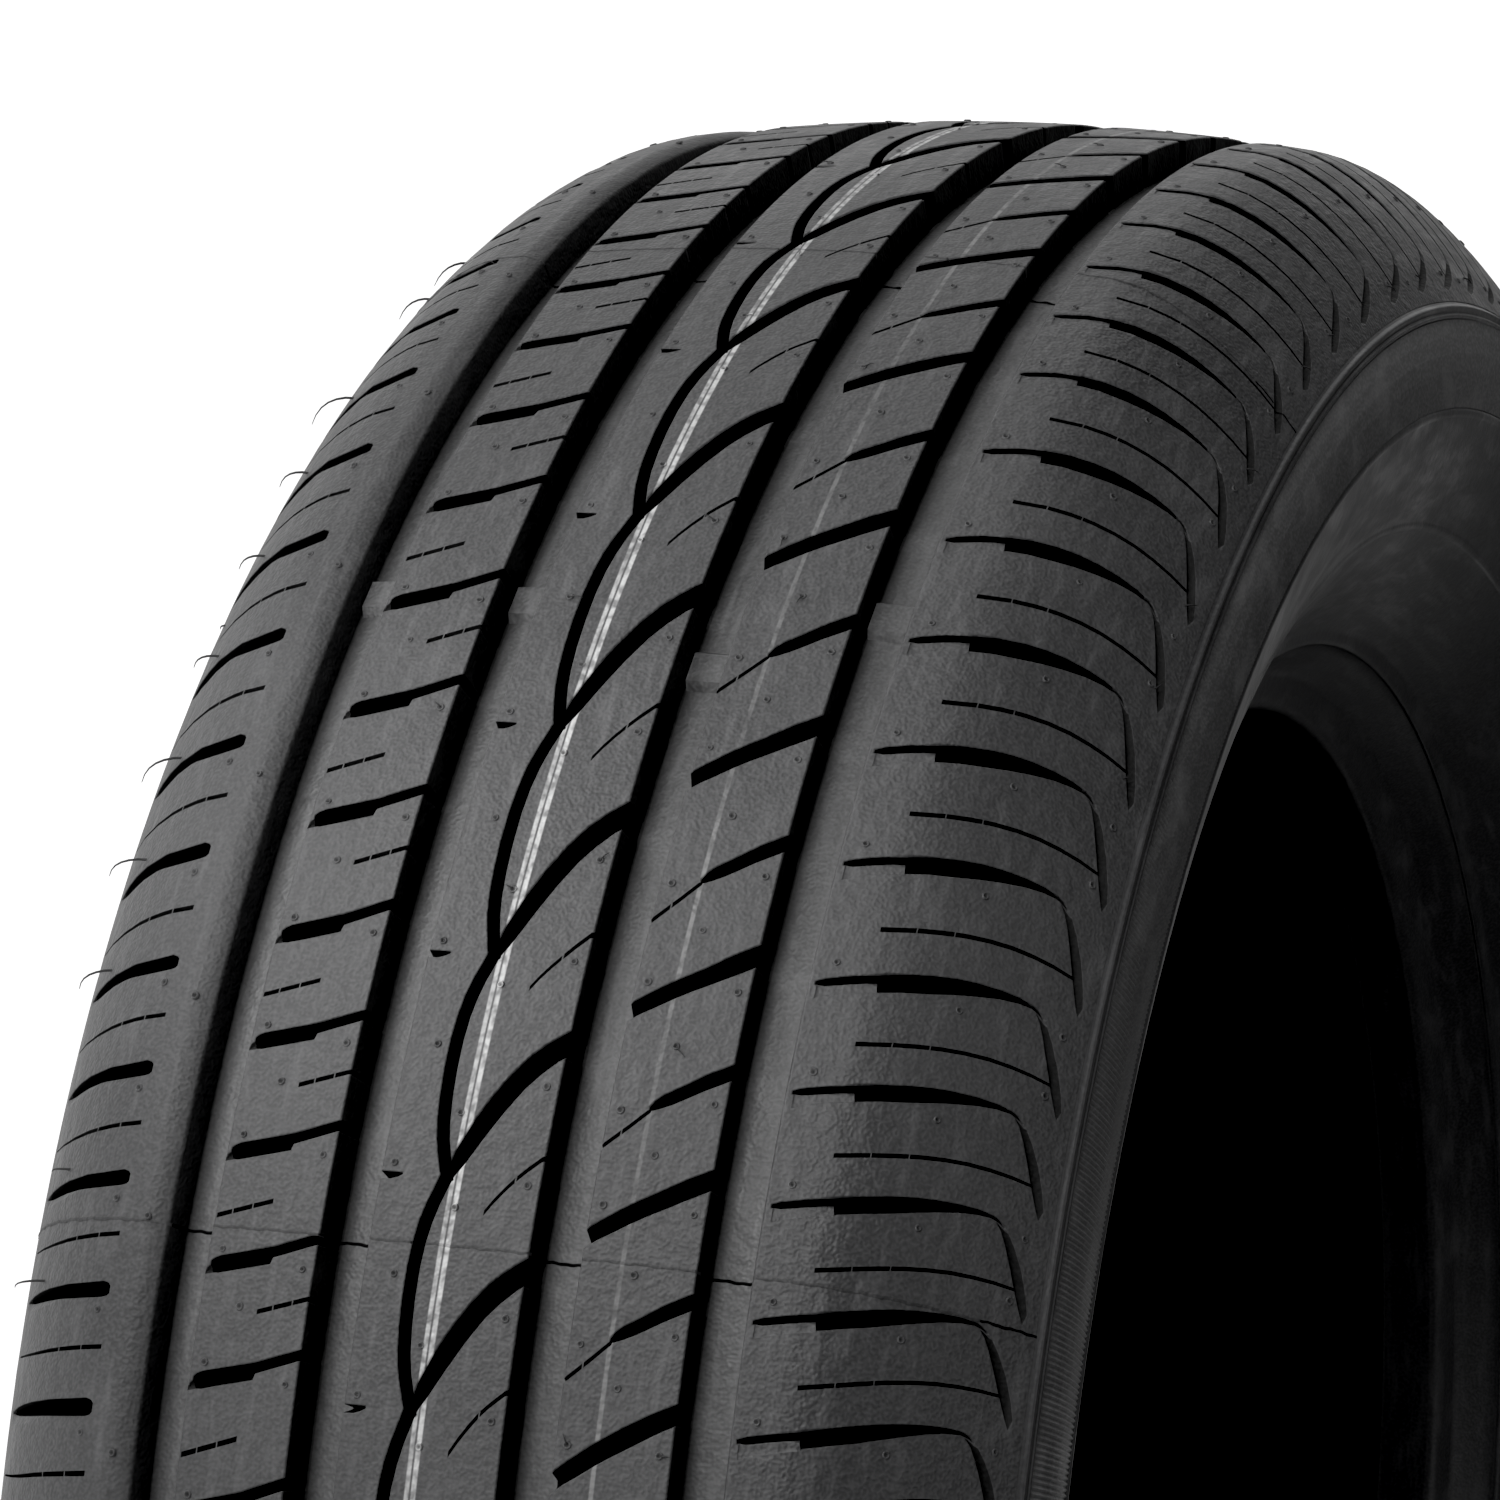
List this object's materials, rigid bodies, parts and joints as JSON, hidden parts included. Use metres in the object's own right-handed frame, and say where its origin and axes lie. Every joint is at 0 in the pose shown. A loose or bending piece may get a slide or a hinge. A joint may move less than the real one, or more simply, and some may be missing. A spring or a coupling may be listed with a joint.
{
  "type": "car tyre",
  "caption": "Radial road tyre for a car wheel, with a ribbed asymmetric tread of circumferential grooves, slotted shoulders, plain sidewalls and open bead seats.",
  "frame": {"origin": "centre of the tyre on the floor plane it lies on, under the left sidewall", "axes": "+Z along the spin axis, from the left sidewall on the floor up to the right sidewall; +X towards the side of the tread that the picture shows"},
  "size_m": [0.676, 0.676, 0.2206],
  "materials": {
    "rubber": "matte moulded rubber"
  },
  "bodies": {
    "root": {"tyre": "rubber"}
  },
  "joints": []
}
